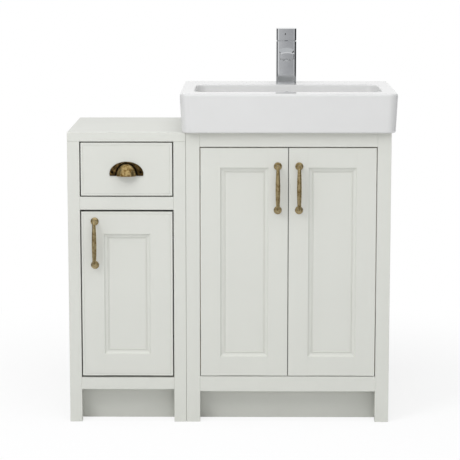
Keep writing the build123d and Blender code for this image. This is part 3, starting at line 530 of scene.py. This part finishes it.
dark_brass = aged_brass("blackened_brass", "5A4525", "17110A", wear=0.02)
plate_brass = aged_brass("brown_antique_brass", "93784A", "4A3A20", wear=0.10)
dome_brass = aged_brass("gilt_antique_brass", "C4AC78", "7C5F30", wear=0.20)
cup_x, cup_z = 150, 640                                 # the middle of the dome's lower edge
plate_half, plate_high, plate_raised = 43, 30.6, 5.4    # the plate's oval
dome_half, dome_high, dome_out = 25.5, 31, 20           # the dome's half ellipse
plate_face = 3.0
arc_points = 81
plate_arc = np.radians(np.linspace(-10.2, 190.2, arc_points))
dome_arc = np.linspace(0, np.pi, arc_points)


def oval(inset, y):
    """The plate's outline, an oval about a point above the dome's edge, drawn in by an
    inset."""
    return np.stack([(plate_half - inset) * np.cos(plate_arc), np.full(arc_points, y),
                     plate_raised + (plate_high - inset) * np.sin(plate_arc)], 1)


def arch(gap, y, share=1.0):
    """The dome's outline, a half ellipse grown by a gap and scaled by a share."""
    return np.stack([(dome_half + gap) * share * np.cos(dome_arc), np.full(arc_points, y),
                     (dome_high + gap) * share * np.sin(dome_arc)], 1)


plate_rows = [oval(0, 0), oval(0, -1.6), oval(0.3, -2.4), oval(0.9, -2.9),
              oval(1.6, -plate_face)]
line_rows = [arch(3.2, -plate_face), arch(2.7, -1.9), arch(0.6, -1.9), arch(0.1, -plate_face)]
dome_rows = [arch(0, -plate_face - dome_out * math.sin(lift), math.cos(lift))
             for lift in np.linspace(0.08, np.pi / 2, 16)]
rows = plate_rows + line_rows + dome_rows
pull = mesh_object("cup_handle_shell", placed(np.concatenate(rows) + (cup_x, 0, cup_z)),
                   grid_faces(len(rows), arc_points), plate_brass, dark_brass, dome_brass)
kind = np.repeat([0, 1, 2], [len(plate_rows), len(line_rows) - 1, len(dome_rows)])
pull.data.polygons.foreach_set("material_index", np.repeat(kind, arc_points - 1))
finish(pull, "drawer", "antique_brass", "drawer_cup_handle", sharp=60, closed=False)
wall = pull.modifiers.new("pressed_wall", "SOLIDIFY")
wall.thickness = 0.0018
wall.offset = -1.0


def turned(profile, steps=48, join=False):
    """A profile of radius and height turned about the upright axis: points and faces."""
    profile = np.asarray(profile, float)
    turn = np.linspace(0, 2 * np.pi, steps, endpoint=False)
    points = np.stack([profile[:, :1] * np.cos(turn), profile[:, :1] * np.sin(turn),
                       np.repeat(profile[:, 1:], steps, 1)], -1).reshape(-1, 3)
    return points, grid_faces(len(profile), steps, wrap=True, join=join)


def tipped(points, degrees):
    """Points turned about the x axis, from z towards -y for a positive angle."""
    c, s = math.cos(math.radians(degrees)), math.sin(math.radians(degrees))
    x, y, z = points.T
    return np.stack([x, c * y - s * z, s * y + c * z], 1)


# the screw heads: low domes with one slot, cut where a point lies within it
screw_aside, screw_z = 36, 649.5
head_radius, head_sides, slot_half, slot_depth = 3.1, 64, 0.45, 0.6
radii = np.linspace(0, head_radius, 16)
heads, head_faces = turned(np.stack([radii, 0.4 + 0.9 * (1 - (radii / 3.2) ** 2)], 1),
                           head_sides)
across_slot = np.abs(heads[:, 0] * 0.94 + heads[:, 1] * 0.34)
heads[:, 2] -= slot_depth * (across_slot < slot_half)
rim, rim_faces = turned([(head_radius, 0.42), (3.2, 0.3), (3.2, 0.0), (0, 0.0)], head_sides)
head = np.concatenate([heads, rim])
head_faces = head_faces + (np.array(rim_faces) + len(heads)).tolist()
screws = [tipped(head, 90) + (cup_x + side * screw_aside, -plate_face, screw_z)
          for side in (-1, 1)]
made = mesh_object("cup_handle_screw_heads", placed(np.concatenate(screws)),
                   head_faces + (np.array(head_faces) + len(head)).tolist(), dark_brass)
finish(made, "drawer", "antique_brass", "cup_handle_screws", sharp=25)


# Basin: slip-cast fireclay in one hollow piece, glazed white and open below. It overhangs
# the cabinet's front and sides a little and sits on it in sealant.

def fired_clay(name, colour, low, high, rough, wave_depth):
    """Fired clay: an even colour with faint clouds, and a surface that waves slightly."""
    made, tree, out, place = new_material(name)
    cloud = noise(tree, place, per_metre=12.0, detail=3.0)
    wave = noise(tree, place, per_metre=60.0, detail=2.0)
    coat(tree, out, shaded(tree, colour, ranged(tree, cloud, low, high)), rough,
         relief(tree, wave, strength=0.1, depth=wave_depth))
    return made


glaze = fired_clay("white_glazed_fireclay", "DCDCDB", 0.99, 1.01, 0.16, 0.0008)
biscuit = fired_clay("bare_fireclay", "E2DCCF", 0.96, 1.02, 0.8, 0.003)

# sizes in mm, places in mm from the cupboard's left front foot
basin_x, waste_y = 560.5, 153.5
foot_z, rim_z, overflow_z = 750, 850, 820
bowl_back = 271
bowl_depth, bowl_in = 106, 16       # how far the bowl's sides come in over its depth
bowl_wall, deck_thick = 10, 14
bowl_floor_z, deck_under_z = rim_z - bowl_depth, rim_z - deck_thick
bowl_under_z = bowl_floor_z - bowl_wall
hollow = [259, -8, 389, 14, 4]      # the outer shell's inner face, a ring with no height


def rounded_ring(half, y0, y1, front_r, back_r, z, steps=12):
    """Once round a rectangle in plan, anticlockwise from above: four quarter circles,
    one at each corner, joined by straight sides. What it takes are a ring's sizes: half
    its width, the y of its front and back, its corner radii there, and its height."""
    turn = np.linspace(0, np.pi / 2, steps + 1)
    turn = np.concatenate([turn + k * np.pi / 2 for k in (-1, 0, 1, 2)])
    radius = np.repeat([front_r, back_r, back_r, front_r], steps + 1)
    x = np.repeat([half - front_r, half - back_r, back_r - half, front_r - half], steps + 1)
    y = np.repeat([y0 + front_r, y1 - back_r, y1 - back_r, y0 + front_r], steps + 1)
    return np.stack([basin_x + x + radius * np.cos(turn), y + radius * np.sin(turn),
                     np.full(len(turn), float(z))], 1)


def eased(start, corner, end, steps=7):
    """Rows of ring sizes along a smooth curve from start to end that heads for corner."""
    t = np.linspace(0, 1, steps)[:, None]
    start, corner, end = (np.array(row, float) for row in (start, corner, end))
    return ((1 - t) ** 2 * start + 2 * t * (1 - t) * corner + t ** 2 * end).tolist()


def outside(z, inset):
    """Ring sizes of the outside wall, which leans out by a twentieth of its height, drawn
    in by an inset."""
    out = 0.05 * (z - foot_z) - inset
    return [270 + out, -19 - out, 400 - inset, 25 - inset, max(8 - inset, 2), z]


def bowl(z, inset, wall=0):
    """Ring sizes of the bowl at a height, drawn in by an inset. With a wall they are those
    of its underside, which lies that far outside it."""
    out = bowl_in * (rim_z - z) / (bowl_depth + wall) + inset
    corner = 34 + wall - inset
    return [240 + wall - out, 36 - wall + out, bowl_back + wall - out, corner, corner, z]


def waste_ring(r, z):
    """Ring sizes of a circle about the waste."""
    return [r, waste_y - r, waste_y + r, r, r, z]


glazed_rows = (eased(outside(foot_z, 5), outside(foot_z, 0), outside(foot_z + 5, 0))
               + eased(outside(rim_z - 7, 0), outside(rim_z, 0), outside(rim_z, 7), 9)
               + eased(bowl(rim_z, -4), bowl(rim_z, 0), bowl(rim_z - 4, 0))
               + eased(bowl(bowl_floor_z + 22, 0), bowl(bowl_floor_z, 0),
                       bowl(bowl_floor_z, 22), 9)
               + [waste_ring(36, 743.6), waste_ring(33, 743.4), waste_ring(33, 741.5),
                  waste_ring(22, 741.5)])
bare_rows = ([waste_ring(22, bowl_under_z)]
             + eased(bowl(bowl_under_z, 26, bowl_wall), bowl(bowl_under_z, 0, bowl_wall),
                     bowl(bowl_under_z + 26, 0, bowl_wall))
             + [bowl(deck_under_z, 0, bowl_wall), hollow + [deck_under_z],
                hollow + [foot_z]])
rows = glazed_rows + bare_rows
points = np.concatenate([rounded_ring(*row) for row in rows])
columns = len(points) // len(rows)
basin = mesh_object("basin_ceramic", placed(points),
                    grid_faces(len(rows), columns, wrap=True, join=True), glaze, biscuit)
kind = np.repeat([0, 1], [len(glazed_rows) - 1, len(bare_rows) + 1])
basin.data.polygons.foreach_set("material_index", np.repeat(kind, columns))

# the overflow hole is cut square through the bowl's back wall, which leans
lean = math.degrees(math.atan2(bowl_in, bowl_depth))
overflow_y = bowl_back - (rim_z - overflow_z) * math.tan(math.radians(lean))
overflow_at = (basin_x, overflow_y, overflow_z)
hole_radius, drill_half = 9.1, 14
drill, drill_faces = turned([(0, -drill_half), (hole_radius, -drill_half),
                             (hole_radius, drill_half), (0, drill_half)])
drill = tipped(drill, -90 - lean) + overflow_at
cutter = mesh_object("overflow_drill", placed(drill), drill_faces)
hole = basin.modifiers.new("overflow_hole", "BOOLEAN")
hole.object = cutter
hole.solver = "EXACT"
bpy.context.view_layer.update()
cut_basin = basin.evaluated_get(bpy.context.evaluated_depsgraph_get())
basin.data = bpy.data.meshes.new_from_object(cut_basin)
basin.modifiers.clear()
bpy.data.objects.remove(cutter)
finish(basin, "cabinet", "glazed_white", "basin", sharp=35)
shade_evenly(basin)


# Overflow ring, waste and plug: brass turned or stamped, then chromium plated. The ring
# is pushed into its hole, and the waste is clamped through the floor by a back nut.

chrome, tree, out, place = new_material("polished_chrome_on_brass")
smear = noise(tree, place, per_metre=45.0, detail=3.0)
coat(tree, out, linear("C8CACC"), ranged(tree, smear, 0.05, 0.10),
     relief(tree, smear, strength=0.03, depth=0.0005), metal=1.0)

ring, ring_faces = turned([(12.5, 0), (12.5, 0.7), (12.2, 1.4), (11.4, 1.9), (10.2, 2.0),
                           (8.8, 1.7), (7.6, 1.0), (7.0, 0.0), (7.0, -8), (9, -8), (9, 0)],
                          join=True)
made = mesh_object("overflow_trim", placed(tipped(ring, 90 - lean) + overflow_at),
                   ring_faces, chrome)
finish(made, "cabinet", "chrome_plate", "overflow_ring")
merged_copy("waste_body", chrome, bevel=0)

# the plug's cap is slightly domed, over a thin skirt and a stem
plug_top = [(r, 747.4 - 0.9 * (r / 28) ** 2) for r in (0, 7, 14, 21, 26)]
plug, plug_faces = turned(plug_top + [(28.6, 746.3), (29.6, 745.7), (30, 744.9), (30, 744.4),
                                      (4, 744.4), (4, 704.4), (0, 704.4)])
made = mesh_object("plug_cap", placed(plug + (basin_x, waste_y, 0)), plug_faces, chrome)
finish(made, "plug", "chrome_plate", "waste_plug", sharp=30)


# Mixer tap: a cast brass block with a square spout, a block lever on top and a plastic
# aerator below the tip, chromium plated and polished. A nut under the deck holds it.

tap_edge, aerator_edge = 0.0004, 0.0003
for name in ("tap_body", "tap_handle", "tap_stem"):
    merged_copy(name, chrome, tap_edge)

soft_grey, tree, out, place = new_material("moulded_grey_plastic")
grain = noise(tree, place, per_metre=1500.0, detail=2.0)
coat(tree, out, linear("B9BBBD"), ranged(tree, grain, 0.30, 0.42),
     relief(tree, grain, strength=0.15, depth=0.0002))
merged_copy("tap_aerator", soft_grey, aerator_edge)

# the lever's index: a small dark enamel pill let into its front, left of the middle. Its
# rows go from a back inside the lever to a point at the middle of its domed face.
pill_sides, pill_radius, pill_straight = 24, 1.2, 1.5
lever_corner = np.array(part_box("tap_handle")[0]) * 1000
pill_at = (lever_corner[0] + 24.0, lever_corner[1], 981.5)
turn = np.linspace(0, 2 * np.pi, pill_sides, endpoint=False)
pill_x = pill_radius * np.cos(turn)
pill_z = pill_radius * np.sin(turn) + pill_straight * np.sign(np.sin(turn))
pill_rows = [np.stack([pill_x * share, np.full(pill_sides, y), pill_z * share], 1)
             for share, y in ((1.0, 0.3), (1.0, -0.12), (0.85, -0.22), (0.0, -0.24))]
pill_points = np.concatenate(pill_rows) + pill_at
pill_faces = grid_faces(len(pill_rows), pill_sides, wrap=True) + [list(range(pill_sides))]
enamel, tree, out, place = new_material("black_enamel")
ripple = noise(tree, place, per_metre=700.0, detail=1.0)
coat(tree, out, linear("1E1F21"), 0.2, relief(tree, ripple, strength=0.1, depth=0.0002))
made = mesh_object("lever_index", pill_points / 1000, pill_faces, enamel)
finish(made, frame["nodes"]["tap_handle"]["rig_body"], "chrome_plate", sharp=50)

nut_brass = aged_brass("turned_brass", "C7A964", "A98B4C", wear=0.25)
for name in ("tap_nut", "waste_nut"):
    merged_copy(name, nut_brass, tap_edge)
